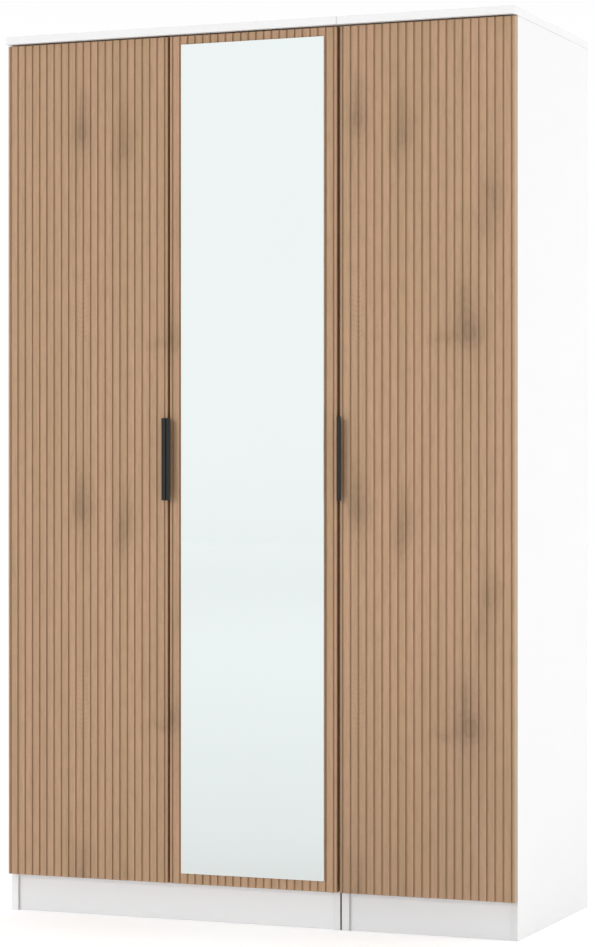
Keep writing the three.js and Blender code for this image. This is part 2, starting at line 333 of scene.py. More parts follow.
def hardboard(boards):
    """Painted hardboard: a mottled coat over the fine mesh print of its rough side."""

    def build(graph):
        place, x, _, z = place_on_object(graph)
        cloud = graph.noise(place, 16, 4, 0.6)
        hair = graph.noise(graph.vector(x * 500, 2.0, z * 220), 1.0, 3)
        turn = 2 * math.pi / (1.8 * MM)
        mesh = graph.math("SINE", x * turn) * graph.math("SINE", z * turn)
        return {
            "Base Color": graph.mix(
                cloud * 0.5 + hair * 0.3, (*boards.white, 1), (*boards.hardboard, 1),
            ),
            "Roughness": 0.55 + hair * 0.2,
            "Specular IOR Level": 0.3,
            "Normal": bump(graph, mesh * 0.5 + hair, 0.08 * MM, 0.6),
        }

    return new_material("white_hardboard", build)


def silvered_glass(mirror):
    """The mirror's face, with the faintest unevenness in its polish, and painted shade that darkens
    its reflection towards the bottom.
    """

    def build(graph):
        place, _, _, z = place_on_object(graph)
        film = graph.noise(place, 3.5, 4)
        # painted shade: the reflection darkened towards the bottom of the mirror
        lower = 1 - graph.smooth(z, 0.05, 1.0) + film * 0.05
        return {
            "Base Color": graph.mix(lower, (*mirror.silver, 1), (*mirror.silver_painted_shade, 1)),
            "Metallic": 1.0,
            "Roughness": 0.012 + film * 0.012,
        }

    return new_material("silvered_glass", build)


def polished_edge(mirror):
    """The mirror's ground and polished edge."""

    def build(graph):
        place, _, _, _ = place_on_object(graph)
        grind = graph.noise(place, 400, 3)
        return {
            "Base Color": graph.mix(grind * 0.3, (*mirror.edge, 1), (0.55, 0.68, 0.66, 1)),
            "Roughness": 0.16 + grind * 0.12,
            "Coat Weight": 0.6,
            "Coat Roughness": 0.08,
        }

    return new_material("polished_edge", build)


def powder_coat(metal):
    """Matt black powder coat with its fine orange peel."""

    def build(graph):
        place, _, _, _ = place_on_object(graph)
        peel = graph.noise(place, 1400, 2)
        patch = graph.noise(place, 60, 3)
        return {
            "Base Color": graph.mix(patch * 0.5, (*metal.black, 1), (*metal.black_light, 1)),
            "Roughness": 0.42 + peel * 0.18,
            "Specular IOR Level": 0.3,
            "Normal": bump(graph, peel, 0.05 * MM, 0.6),
        }

    return new_material("powder_coat", build)


def plated_metal(name, colour, low, high, stretch):
    """Plated steel: brushed where stretch is far from 1, bright where roughness is low."""

    def build(graph):
        _, x, y, z = place_on_object(graph)
        brush = graph.noise(graph.vector(x * 300 * stretch, y * 300, z * 300), 1.0, 3)
        patch = graph.noise(graph.vector(x, y, z), 45, 3)
        dull = tuple(part * 0.82 for part in colour)
        return {
            "Base Color": graph.mix(patch * 0.6, (*colour, 1), (*dull, 1)),
            "Metallic": 1.0,
            "Roughness": low + (brush * 0.6 + patch * 0.4) * (high - low),
            "Normal": bump(graph, brush, 0.02 * MM, 0.3),
        }

    return new_material(name, build)


def pale_floor(stage):
    def build(graph):
        place, x, y, _ = place_on_object(graph)
        away = graph.smooth(graph.math("SQRT", x * x + y * y), 2.0, 20.0)
        return {
            "Base Color": graph.mix(away, (*stage.floor, 1), (*stage.far_floor, 1)),
            "Roughness": 0.7 + graph.noise(place, 1.5, 3) * 0.1,
            "Specular IOR Level": 0.0,
            "Emission Color": (1, 1, 1, 1),
            "Emission Strength": stage.floor_glow,
        }

    return new_material("pale_floor", build)


# ------------------------------------------------------------------ settings
def colour_setting(name, description, default):
    return FloatVectorProperty(
        name=name, description=description, default=default,
        size=3, min=0, max=1, subtype="COLOR",
    )


def length_setting(name, description, default):
    return FloatProperty(name=name, description=description, default=default, unit="LENGTH")


class DoorSettings(bpy.types.PropertyGroup):
    """The grooved doors and their foil."""

    groove_pitch: length_setting("Groove pitch", "From one groove to the next", 16.8 * MM)
    grooves: IntProperty(name="Grooves", description="Grooves on a door", default=22, min=1)
    groove_width: length_setting("Groove width", "Width at the door's face", 4.4 * MM)
    groove_floor: length_setting("Groove floor", "Width at the bottom of a groove", 3.2 * MM)
    groove_depth: length_setting("Groove depth", "Depth of a groove", 2.5 * MM)
    edge_radius: length_setting("Edge radius", "Rounding of the door's front edges", 1.6 * MM)
    slat_radius: length_setting("Slat radius", "Rounding of the slats' edges", 0.45 * MM)
    # how far painted shade darkens the foil in the grooves
    groove_painted_shade: FloatProperty(
        name="Groove shade", description="How far the foil is darkened in the grooves",
        default=0.30, min=0, max=1, subtype="FACTOR",
    )
    olive_oak: colour_setting("Olive oak", "The print's olive streaks", (0.397, 0.262, 0.151))
    rose_oak: colour_setting("Rose oak", "The print's rose streaks", (0.474, 0.294, 0.191))
    # the print's darker bands, and also the colour of the painted shade towards the doors' bottoms
    band_and_painted_shade_oak: colour_setting("Shaded oak", "The print's darker bands", (0.297, 0.191, 0.120))
    knot_oak: colour_setting("Knot", "The print's knots and pores", (0.185, 0.122, 0.075))
    # the colour of the painted highlight along the doors' outer edges
    edge_highlight_oak: colour_setting("Edge", "The foil along the door's edges", (0.50, 0.385, 0.275))
    # the colour of the painted shade in the grooves and in the gaps between doors
    painted_shadow_oak: colour_setting("Groove", "The foil at the bottom of a groove", (0.235, 0.132, 0.055))


class BoardSettings(bpy.types.PropertyGroup):
    """The white boards of the two carcasses."""

    edge_radius: length_setting("Edge radius", "Rounding of a board's edges", 0.6 * MM)
    white: colour_setting("White", "The boards' white", (0.760, 0.760, 0.760))
    white_shade: colour_setting(
        "White shade", "The boards' white where duller", (0.742, 0.742, 0.739),
    )
    hardboard: colour_setting("Hardboard", "The back panels' mottling", (0.66, 0.655, 0.64))
    # painted shade: the plinths get darker whites than the boards, the single unit's darker still,
    # for the shade under the doors and the light falling off to the right
    plinth: colour_setting("Plinth", "The double unit's softer plinth", (0.72, 0.72, 0.725))
    single_plinth: colour_setting(
        "Single plinth", "The single unit's softer plinth", (0.67, 0.67, 0.675),
    )
    # painted shade: darker whites on the front edges of the two sides that meet and of the right
    # side
    joined_edge_painted_shade: colour_setting(
        "Edging", "The strips on the inner sides' front edges", (0.67, 0.67, 0.67),
    )
    end_edge_painted_shade: colour_setting(
        "End edging", "The strip on the right side's front edge", (0.60, 0.60, 0.60),
    )
    # painted shade: a dark grey on the sides' faces that meet between the two units, where shade
    # falls in the joint
    joint_painted_shadow: colour_setting("Joint", "The sides' faces between the two units", (0.34, 0.33, 0.31))


class MirrorSettings(bpy.types.PropertyGroup):
    """The mirror on the centre door."""

    arris: length_setting("Arris", "Width of the ground edge", 0.7 * MM)
    silver: colour_setting("Silver", "Tint of the reflection", (0.86, 0.915, 0.912))
    # the colour of the painted shade at the mirror's bottom
    silver_painted_shade: colour_setting("Silver shade", "Tint towards the bottom", (0.640, 0.684, 0.682))
    edge: colour_setting("Edge", "The polished edge", (0.86, 0.93, 0.92))


class MetalSettings(bpy.types.PropertyGroup):
    """Handles, hinges, rails, screws and bolts."""

    edge_radius: length_setting("Edge radius", "Rounding of the metal's edges", 0.3 * MM)
    round_sides: IntProperty(name="Round sides", description="Facets round a rail", default=64)
    black: colour_setting("Black", "The handles' powder coat", (0.014, 0.0135, 0.013))
    black_light: colour_setting("Light black", "The coat where lighter", (0.024, 0.023, 0.022))
    steel: colour_setting("Steel", "Nickel-plated steel", (0.62, 0.62, 0.61))
    chrome: colour_setting("Chrome", "The rails' chrome", (0.80, 0.81, 0.83))
    screw_head: length_setting("Screw head", "Radius of a hinge screw's head", 3.6 * MM)


class StageSettings(bpy.types.PropertyGroup):
    """The floor, the lights and the camera."""

    floor: colour_setting("Floor", "The pale floor near the wardrobe", (0.97, 0.97, 0.97))
    far_floor: colour_setting("Far floor", "The pale floor far away", (0.848, 0.848, 0.848))
    floor_glow: FloatProperty(
        name="Floor glow", description="The floor's own light", default=0.07, min=0,
    )
    horizon: FloatProperty(
        name="Horizon", description="Brightness of the studio at eye level", default=1.0, min=0,
    )
    shoulder: FloatProperty(
        name="Shoulder", description="Brightness between eye level and overhead",
        default=0.30, min=0,
    )
    zenith: FloatProperty(name="Zenith", description="Brightness overhead", default=1.7, min=0)
    key_strength: FloatProperty(
        name="Key light", description="Strength of the soft light from the upper left",
        default=0.98, min=0,
    )
    side_power: FloatProperty(
        name="Side light", description="The light on the right side", default=51, unit="POWER",
    )
    yaw: FloatProperty(
        name="Yaw", description="How far the camera stands round to the right",
        default=math.radians(21.95), subtype="ANGLE",
    )
    lens: FloatProperty(
        name="Lens", description="Focal length", default=109.58, unit="CAMERA",
    )


# ------------------------------------------------------------------ mesh helpers
def object_from(name, fill):
    """An object at the origin whose mesh fill(bm) makes."""
    bm = bmesh.new()
    fill(bm)
    mesh = bpy.data.meshes.new(name)
    bm.to_mesh(mesh)
    bm.free()
    made = bpy.data.objects.new(name, mesh)
    bpy.context.scene.collection.objects.link(made)
    return made


def plain_mesh(obj):
    """The object with its modifiers turned into mesh, and none left on it."""
    graph = bpy.context.evaluated_depsgraph_get()
    mesh = bpy.data.meshes.new_from_object(obj.evaluated_get(graph))
    obj.modifiers.clear()
    obj.data = mesh
    return obj


def forget(*objects):
    for obj in objects:
        bpy.data.objects.remove(obj)


def soften(obj, width, segments=2):
    """Rounds the object's sharp edges and leaves its flat faces flat."""
    for face in obj.data.polygons:
        face.use_smooth = True
    bevel = obj.modifiers.new("edges", "BEVEL")
    bevel.width = width
    bevel.segments = segments
    bevel.limit_method = "ANGLE"
    bevel.angle_limit = math.radians(30)
    flats = obj.modifiers.new("flats", "WEIGHTED_NORMAL")
    flats.mode = "FACE_AREA"
    flats.weight = 100
    return plain_mesh(obj)


def shade_round(obj):
    """Smooth shading that keeps the object's sharp edges sharp."""
    for face in obj.data.polygons:
        face.use_smooth = True
    obj.data.set_sharp_from_angle(angle=math.radians(35))
    return obj


def carve(obj, cutters, operation="DIFFERENCE"):
    """Cuts the cutters from the object, or joins them to it, and removes them."""
    for cutter in cutters:
        step = obj.modifiers.new("carve", "BOOLEAN")
        step.operation = operation
        step.solver = "EXACT"
        step.object = cutter
    plain_mesh(obj)
    forget(*cutters)
    return obj


def box_into(bm, low, high):
    """Adds a closed box between two corners."""
    centre = (Vector(low) + Vector(high)) / 2
    size = Vector(high) - Vector(low)
    matrix = Matrix.Translation(centre) @ Matrix.Diagonal((*size, 1))
    bmesh.ops.create_cube(bm, size=1, matrix=matrix)


def turned(name, profile, sides, matrix=Matrix()):
    """A turned solid from (radius, height) points round Z, placed by matrix. Its ends are on the
    axis or the profile closes on itself."""

    def fill(bm):
        corners = [bm.verts.new((r, 0, h)) for r, h in profile]
        edges = [bm.edges.new(pair) for pair in zip(corners, corners[1:])]
        bmesh.ops.spin(
            bm, geom=corners + edges, axis=(0, 0, 1), cent=(0, 0, 0),
            steps=sides, angle=2 * math.pi, use_merge=True,
        )
        bmesh.ops.remove_doubles(bm, verts=bm.verts, dist=1e-6)
        bmesh.ops.recalc_face_normals(bm, faces=bm.faces)
        bmesh.ops.transform(bm, matrix=matrix, verts=bm.verts)

    return object_from(name, fill)


def outlined(name, points, low, high, matrix=Matrix()):
    """A solid pulled up along Z from an outline of (x, y) points, placed by matrix."""

    def fill(bm):
        floor = bm.faces.new([bm.verts.new((x, y, low)) for x, y in points])
        pulled = bmesh.ops.extrude_face_region(bm, geom=[floor])["geom"]
        raised = [part for part in pulled if isinstance(part, bmesh.types.BMVert)]
        bmesh.ops.translate(bm, vec=(0, 0, high - low), verts=raised)
        bmesh.ops.recalc_face_normals(bm, faces=bm.faces)
        bmesh.ops.transform(bm, matrix=matrix, verts=bm.verts)

    return object_from(name, fill)


def cad_copy(name, node):
    """A clean copy of a CAD node, with flat faces in one piece."""

    def fill(bm):
        bm.from_mesh(frame["nodes"][node].data)
        bmesh.ops.remove_doubles(bm, verts=bm.verts, dist=1e-5)
        bmesh.ops.dissolve_limit(
            bm, angle_limit=math.radians(0.5), verts=bm.verts, edges=bm.edges,
        )
        bmesh.ops.recalc_face_normals(bm, faces=bm.faces)

    return object_from(name, fill)


def cad_slot(node):
    for part in frame["record"]["subparts"]:
        if part["node"] == node:
            return part["material_slot"]
    raise ValueError(f"no material slot for {node}")


def body_of_node(node):
    for body, members in frame["record"]["behaviour"]["bodies"].items():
        if node in members:
            return body
    raise ValueError(f"no body for {node}")


def settle(obj, materials, nodes, body=None, slot=None):
    """Gives a finished piece its materials, hangs it on its body and hides the CAD nodes that it
    replaces, if any."""
    obj.data.materials.clear()
    for material in materials:
        obj.data.materials.append(material)
    nodes = [nodes] if isinstance(nodes, str) else nodes
    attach(obj, body or body_of_node(nodes[0]))
    slot or cad_slot(nodes[0])
    if nodes:
        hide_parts(*nodes)
    return obj


def middle(node):
    low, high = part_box(node)
    return (low + high) / 2


def leaf(door):
    return f"{door}_leaf"


def into(door):
    """1 where the door runs to the right of its hinges, -1 where it runs to the left."""
    return 1 if door == "left" else -1


# ------------------------------------------------------------------ geometry graphs
def geometry_graph(name, sockets):
    """A new geometry node tree with those named inputs, and its group input's sockets."""
    tree = bpy.data.node_groups.new(name, "GeometryNodeTree")
    tree.interface.new_socket("Geometry", in_out="OUTPUT", socket_type="NodeSocketGeometry")
    for title, kind in sockets:
        tree.interface.new_socket(title, in_out="INPUT", socket_type=f"NodeSocket{kind}")
    graph = Graph(tree)
    start = tree.nodes.new("NodeGroupInput")
    return graph, {s.name: Value(graph, s) for s in start.outputs if s.name}


def run_graph(obj, tree, values):
    """Runs a geometry node tree on the object and keeps only the resulting mesh."""
    step = obj.modifiers.new("pattern", "NODES")
    step.node_group = tree
    for item in tree.interface.items_tree:
        if item.in_out == "INPUT" and item.name in values:
            step[item.identifier] = values[item.name]
    obj.update_tag()
    bpy.context.view_layer.update()
    return plain_mesh(obj)


def end_graph(graph, geometry, material):
    """Realize Instances, Set Material and the group's output."""
    real = graph.node("GeometryNodeRealizeInstances", None, {"Geometry": geometry})
    done = graph.node("GeometryNodeSetMaterial", None, {"Geometry": real, "Material": material})
    graph.node("NodeGroupOutput", None, {"Geometry": done})
    return graph.tree


def row_of(graph, instance, count, start, step):
    """Instances of a geometry in a row."""
    line = graph.node(
        "GeometryNodeMeshLine", {"mode": "OFFSET"},
        {"Count": count, "Start Location": start, "Offset": step},
    )
    return graph.node("GeometryNodeInstanceOnPoints", None, {"Points": line, "Instance": instance})


def cut_with(graph, solid, tools):
    real = graph.node("GeometryNodeRealizeInstances", None, {"Geometry": tools})
    return graph.node(
        "GeometryNodeMeshBoolean", {"operation": "DIFFERENCE", "solver": "EXACT"},
        {"Mesh 1": solid, "Mesh 2": real},
    )


def door_leaf_tree():
    """Cuts a row of grooves into a slab's face and a row of cup bores into its back."""
    graph, given = geometry_graph("door_leaf", [
        ("Slab", "Geometry"), ("Groove", "Object"), ("Grooves", "Int"),
        ("First Groove", "Vector"), ("Groove Step", "Vector"), ("Cup Radius", "Float"),
        ("Cup Depth", "Float"), ("Cups", "Int"), ("First Cup", "Vector"),
        ("Cup Step", "Vector"), ("Material", "Material"),
    ])
    groove = graph.node("GeometryNodeObjectInfo", None, {"Object": given["Groove"]}, "Geometry")
    grooves = row_of(
        graph, groove, given["Grooves"], given["First Groove"], given["Groove Step"],
    )
    bore = graph.node(
        "GeometryNodeMeshCylinder", None,
        {"Vertices": 64, "Radius": given["Cup Radius"], "Depth": given["Cup Depth"]}, "Mesh",
    )
    bore = graph.node(
        "GeometryNodeTransform", None, {"Geometry": bore, "Rotation": (math.pi / 2, 0, 0)},
    )
    bores = row_of(graph, bore, given["Cups"], given["First Cup"], given["Cup Step"])
    grooved = cut_with(graph, given["Slab"], grooves)
    return end_graph(graph, cut_with(graph, grooved, bores), given["Material"])


def repeat_tree():
    """Repeats a piece along two steps, such as two screws on each of three hinges."""
    graph, given = geometry_graph("repeat", [
        ("Geometry", "Geometry"), ("Piece", "Object"), ("Count", "Int"), ("Start", "Vector"),
        ("Step", "Vector"), ("Rows", "Int"), ("Row Step", "Vector"), ("Material", "Material"),
    ])
    piece = graph.node("GeometryNodeObjectInfo", None, {"Object": given["Piece"]}, "Geometry")
    row = row_of(graph, piece, given["Count"], given["Start"], given["Step"])
    rows = row_of(graph, row, given["Rows"], (0.0, 0.0, 0.0), given["Row Step"])
    return end_graph(graph, rows, given["Material"])


def repeated(name, piece, material, count, start, step, rows=1, row_step=(0, 0, 0)):
    """A plain mesh of a piece repeated along two steps. The piece itself stays."""
    tree = bpy.data.node_groups.get("repeat") or repeat_tree()
    holder = object_from(name, lambda bm: None)
    return run_graph(holder, tree, {
        "Piece": piece, "Count": count, "Start": tuple(start), "Step": tuple(step),
        "Rows": rows, "Row Step": tuple(row_step), "Material": material,
    })


# ------------------------------------------------------------------ screws
def screw(name, radius, height, toward, length=3 * MM):
    """A pan-headed screw with a cross recess. Its head stands up from the origin, toward a
    direction, and its shank goes the other way."""
    turn = Vector((0, 0, 1)).rotation_difference(Vector(toward)).to_matrix().to_4x4()
    rim = [
        (radius * math.cos(a), height * (0.35 + 0.65 * math.sin(a)))
        for a in (math.radians(15 * i) for i in range(6))
    ]
    profile = [(0, -length), (radius * 0.45, -length), (radius * 0.45, 0), (radius, 0)]
    profile += rim + [(0, height)]
    head = turned(name, profile, 24)
    bar = radius * 0.62
    slot = radius * 0.13
    cutters = [
        object_from("recess", lambda bm, w=w, d=d: box_into(
            bm, (-w, -d, height * 0.35), (w, d, height * 2),
        )) for w, d in ((bar, slot), (slot, bar))
    ]
    carve(head, cutters)
    head.data.transform(turn)
    return shade_round(head)


# ------------------------------------------------------------------ operators
class WARDROBE_OT_boards(bpy.types.Operator):
    """Finish the white boards of both carcasses with softened edges"""

    bl_idname = "wardrobe.boards"
    bl_label = "Carcass boards"

    def execute(self, context):
        boards = context.scene.wardrobe_boards
        white = melamine("white_melamine", boards.white, boards.white_shade)
        backing = hardboard(boards)
        # painted shade: each unit's plinth in its own darker white
        shaded_plinths = {
            "double": melamine("double_plinth_painted_shade", boards.plinth, boards.plinth * 0.97),
            "single": melamine(
                "single_plinth_painted_shade", boards.single_plinth, boards.single_plinth * 0.97,
            ),
        }
        # painted shade on the sides' front edge faces
        joined_edge_painted_shade = melamine("edging_strip", boards.joined_edge_painted_shade, boards.joined_edge_painted_shade * 0.97)
        end_edge_painted_shade = melamine("end_edging_strip", boards.end_edge_painted_shade, boards.end_edge_painted_shade * 0.97)
        # painted shade: the faces in the joint between the units
        joint_painted_shadow = melamine("joint_face", boards.joint_painted_shadow, boards.joint_painted_shadow * 0.9)
        # the two sides that meet, and which way their joined faces point along X
        joined = {"double_right_side": 1, "single_left_side": -1}
        for node in sorted(frame["nodes"]):
            if cad_slot(node) != "white_board":
                continue
            board = cad_copy(f"{node}_board", node)
            material = white
            if node.endswith("_plinth"):
                material = shaded_plinths[node.split("_")[0]]
            if node.endswith("_back_panel"):
                material = backing
            settle(soften(board, boards.edge_radius), [material], node)
            if node == "single_right_side":
                self.face_with(board, end_edge_painted_shade, (0, -1, 0))
            if node in joined:
                self.face_with(board, joined_edge_painted_shade, (0, -1, 0))
                self.face_with(board, joint_painted_shadow, (joined[node], 0, 0))
        return {"FINISHED"}

    def face_with(self, board, material, toward):
        """Gives the board's flat faces that point toward a direction a material of their own."""
        board.data.materials.append(material)
        for face in board.data.polygons:
            if face.normal.dot(Vector(toward)) > 0.99:
                face.material_index = len(board.data.materials) - 1


class WARDROBE_OT_doors(bpy.types.Operator):
    """Make the three grooved doors"""

    bl_idname = "wardrobe.doors"
    bl_label = "Grooved doors"

    def slab(self, door, doors):
        """The door's board, its long and short front edges rounded."""
        low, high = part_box(f"{door}_door")

        def fill(bm):
            box_into(bm, low, high)
            front = [
                edge for edge in bm.edges
                if all(abs(vert.co.y - low.y) < MM for vert in edge.verts)
            ]
            bmesh.ops.bevel(
                bm, geom=front, offset=doors.edge_radius, segments=4, profile=0.5,
                affect="EDGES",
            )

        return object_from(f"{door}_door_leaf", fill)

    def groove(self, door, doors):
        """The bar that cuts one groove, with its first groove's middle at the origin."""
        low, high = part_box(f"{door}_door")
        beyond = 3 * MM
        slope = (doors.groove_width - doors.groove_floor) / 2 / doors.groove_depth
        mouth = doors.groove_width / 2 + slope * beyond
        floor = doors.groove_floor / 2
        deep = doors.groove_depth
        corner = 0.35 * MM
        points = [
            (-mouth, -beyond), (mouth, -beyond), (floor, deep - corner),
            (floor - corner, deep), (corner - floor, deep), (-floor, deep - corner),
        ]
        half = (high.z - low.z) / 2 + beyond
        return outlined("groove", points, -half, half)

    def execute(self, context):
        doors = context.scene.wardrobe_doors
        white = bpy.data.materials["white_melamine"]
        tree = door_leaf_tree()
        for door in DOORS:
            low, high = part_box(f"{door}_door")
            cups = [middle(f"{door}_door_hinge_cup_{place}") for place in HINGES]
            cup_low, cup_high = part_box(f"{door}_door_hinge_cup_lower")
            oak = oak_print(doors, door, low, high)
            reach = doors.groove_pitch * (doors.grooves - 1)
            groove = self.groove(door, doors)
            bore_radius = (cup_high.x - cup_low.x) / 2 + 0.15 * MM
            bore_depth = high.y - cup_low.y + 0.3 * MM
            leaf_piece = run_graph(self.slab(door, doors), tree, {
                "Groove": groove, "Grooves": doors.grooves,
                "First Groove": ((low.x + high.x - reach) / 2, low.y, (low.z + high.z) / 2),
                "Groove Step": (doors.groove_pitch, 0, 0),
                "Cup Radius": bore_radius, "Cup Depth": 2 * bore_depth,
                "Cups": len(cups), "First Cup": (cups[0].x, high.y, cups[0].z),
                "Cup Step": (0, 0, cups[1].z - cups[0].z), "Material": oak,
            })
            forget(groove)
            soften(leaf_piece, doors.slat_radius)
            settle(leaf_piece, [oak, white], f"{door}_door")
            for face in leaf_piece.data.polygons:
                at_back = face.center.y > high.y - 0.05 * MM
                face.material_index = 1 if at_back else 0
        return {"FINISHED"}


class WARDROBE_OT_mirror(bpy.types.Operator):
    """Make the mirror with its ground and polished edge"""

    bl_idname = "wardrobe.mirror"
    bl_label = "Mirror"

    def execute(self, context):
        mirror = context.scene.wardrobe_mirror
        low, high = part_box("mirror")
        pane = object_from("mirror_pane", lambda bm: box_into(bm, low, high))
        soften(pane, mirror.arris, 3)
        settle(pane, [silvered_glass(mirror), polished_edge(mirror)], "mirror")
        for face in pane.data.polygons:
            face.material_index = 0 if face.normal.y < -0.999 else 1
        return {"FINISHED"}


class WARDROBE_OT_handles(bpy.types.Operator):
    """Finish the black edge handles and their countersunk screws"""

    bl_idname = "wardrobe.handles"
    bl_label = "Handles"

    def execute(self, context):
        metal = context.scene.wardrobe_metal
        coat = powder_coat(metal)
        steel = bpy.data.materials["nickel_steel"]
        for door in DOORS:
            node = f"{door}_door_handle"
            bar = cad_copy(f"{node}_bar", node)
            settle(soften(bar, metal.edge_radius), [coat], node)
            lower = f"{node}_screw_lower"
            upper = f"{node}_screw_upper"
            low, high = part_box(lower)
            outside = high.x if door == "left" else low.x
            radius = (high.z - low.z) / 2
            dome = 0.25 * MM
            head = screw("screw", radius, dome, (into(door), 0, 0), 18 * MM)
            centre = middle(lower)
            start = (outside - into(door) * dome, centre.y, centre.z)
            rise = middle(upper).z - centre.z
            both = repeated(f"{node}_screws", head, steel, 2, start, (0, 0, rise))
            settle(both, [steel], [lower, upper])
            forget(head)
        return {"FINISHED"}


# Where the hinges' screws are: up and down from the middle of a cup or an arm, back from the
# arm's front end, and in from the side panel.
CUP_SCREW_REACH = 23 * MM
PLATE_SCREW_REACH = 16 * MM
PLATE_SCREW_BACK = 46 * MM
PLATE_FACE = 2.5 * MM
ARM_SCREW_BACK = 30 * MM
ARM_SCREW_STEP = 28 * MM
ARM_FACE = 10.7 * MM
CUP_SIDES = 48


class WARDROBE_OT_hinges(bpy.types.Operator):
    """Make the hinge cups, arms and their screws"""

    bl_idname = "wardrobe.hinges"
    bl_label = "Hinges"

    def cup(self, node, steel):
        """A drawn cup with a rolled rim, and its flange."""
        low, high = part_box(node)
        centre = middle(node)
        radius = (high.x - low.x) / 2
        deep = high.y - low.y
        wall = 1.0 * MM
        well = 0.8 * MM
        bend = 0.3 * MM
        lip = 0.2 * MM
        turn = Matrix.Translation((centre.x, low.y, centre.z)) @ Matrix.Rotation(
            -math.pi / 2, 4, "X",
        )
        outer = [(0, 0), (radius - wall, 0), (radius - bend, bend), (radius, wall)]
        rim = [(radius, deep - lip), (radius - lip, deep)]
        inner = [
            (radius - wall, deep), (radius - wall, well + wall),
            (radius - 2 * wall, well), (0, well),
        ]
        cup = turned(f"{node}_drawn", outer + rim + inner, CUP_SIDES, turn)
        half_height = (high.z - low.z) / 2
        half_width = 13 * MM
        corner = 9 * MM
        points = [
            (
                across * (half_width - corner) + corner * math.cos(angle),
                up * (half_height - corner) + corner * math.sin(angle),
            )
            for across, up, first in ((1, 1, 0), (-1, 1, 90), (-1, -1, 180), (1, -1, 270))
            for angle in (math.radians(first + 15 * i) for i in range(7))
        ]
        thin = 0.9 * MM
        flange = outlined("flange", points, deep - thin, deep, turn)
        inside = [
            (0, well + 2 * wall), (radius - wall, well + 2 * wall), (radius - wall, 2 * deep),
            (0, 2 * deep),
        ]
        hollow = turned("hollow", inside, CUP_SIDES, turn)
        carve(flange, [hollow])
        carve(cup, [flange], "UNION")
        soften(cup, 0.12 * MM, 1)
        return settle(cup, [steel], node)

    def execute(self, context):
        metal = context.scene.wardrobe_metal
        steel = bpy.data.materials["nickel_steel"]
        for door in DOORS:
            cups = [f"{door}_door_hinge_cup_{place}" for place in HINGES]
            arms = [f"{door}_door_hinge_arm_{place}" for place in HINGES]
            for node in cups:
                self.cup(node, steel)
            for node in arms:
                arm = cad_copy(f"{node}_pressed", node)
                settle(soften(arm, metal.edge_radius), [steel], node)
            self.screws(door, cups, arms, metal, steel)
        return {"FINISHED"}

    def screws(self, door, cups, arms, metal, steel):
        """Two screws on each cup's flange, two on each arm's plate and two to adjust each arm."""
        rise = (0, 0, middle(cups[1]).z - middle(cups[0]).z)
        head_height = 1.5 * MM

        def pairs(place, head, start, step, body):
            name = f"{door}_door_{place}_screws"
            made = repeated(name, head, steel, 2, start, step, len(HINGES), rise)
            settle(made, [steel], [], body, "plain_steel")

        centre = middle(cups[0])
        head = screw("screw", metal.screw_head, head_height, (0, 1, 0))
        start = (centre.x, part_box(cups[0])[1].y, centre.z - CUP_SCREW_REACH)
        pairs("cup", head, start, (0, 0, 2 * CUP_SCREW_REACH), leaf(door))
        forget(head)
        low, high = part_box(arms[0])
        side = low.x if door == "left" else high.x
        height = middle(arms[0]).z
        head = screw("screw", metal.screw_head, head_height, (into(door), 0, 0))
        plate_face = side + into(door) * PLATE_FACE
        start = (plate_face, low.y + PLATE_SCREW_BACK, height - PLATE_SCREW_REACH)
        pairs("plate", head, start, (0, 0, 2 * PLATE_SCREW_REACH), CARCASS)
        start = (side + into(door) * ARM_FACE, low.y + ARM_SCREW_BACK, height)
        pairs("arm", head, start, (0, ARM_SCREW_STEP, 0), CARCASS)
        forget(head)


RAIL_WALL = 1.2 * MM
SOCKET_BASE = 3 * MM
SOCKET_WALL = 3 * MM
SOCKET_BORE = 12.8 * MM


class WARDROBE_OT_rails(bpy.types.Operator):
    """Make the hanging rails and their sockets"""

    bl_idname = "wardrobe.rails"
    bl_label = "Hanging rails"

    def along_x(self, start, direction):
        return Matrix.Translation(start) @ Matrix.Rotation(direction * math.pi / 2, 4, "Y")

    def execute(self, context):
        metal = context.scene.wardrobe_metal
        chrome = plated_metal("bright_chrome", tuple(metal.chrome), 0.06, 0.16, 0.05)
        for unit in ("double", "single"):
            self.rail(f"{unit}_hanging_rail", chrome, metal.round_sides)
            for side in ("left", "right"):
                self.socket(f"{unit}_rail_socket_{side}", side, chrome, metal.round_sides)
        return {"FINISHED"}

    def rail(self, node, chrome, sides):
        low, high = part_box(node)
        centre = middle(node)
        outer = (high.z - low.z) / 2
        inner = outer - RAIL_WALL
        length = high.x - low.x
        profile = [(inner, 0), (outer, 0), (outer, length), (inner, length), (inner, 0)]
        turn = self.along_x((low.x, centre.y, centre.z), 1)
        tube = turned(f"{node}_tube", profile, sides, turn)
        settle(soften(tube, 0.25 * MM), [chrome], node)

    def socket(self, node, side, chrome, sides):
        low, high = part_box(node)
        centre = middle(node)
        direction = 1 if side == "left" else -1
        start = (low.x if side == "left" else high.x, centre.y, centre.z)
        flange = (high.z - low.z) / 2
        base = SOCKET_BASE
        mouth = high.x - low.x
        outer = SOCKET_BORE + SOCKET_WALL
        profile = [
            (0, 0), (flange, 0), (flange, base * 0.5), (flange - base * 0.5, base),
            (outer + base * 0.4, base), (outer, base * 1.4), (outer, mouth),
            (SOCKET_BORE, mouth), (SOCKET_BORE, base), (0, base),
        ]
        turn = self.along_x(start, direction)
        ring = turned(f"{node}_cast", profile, sides, turn)
        settle(soften(ring, 0.3 * MM), [chrome], node)


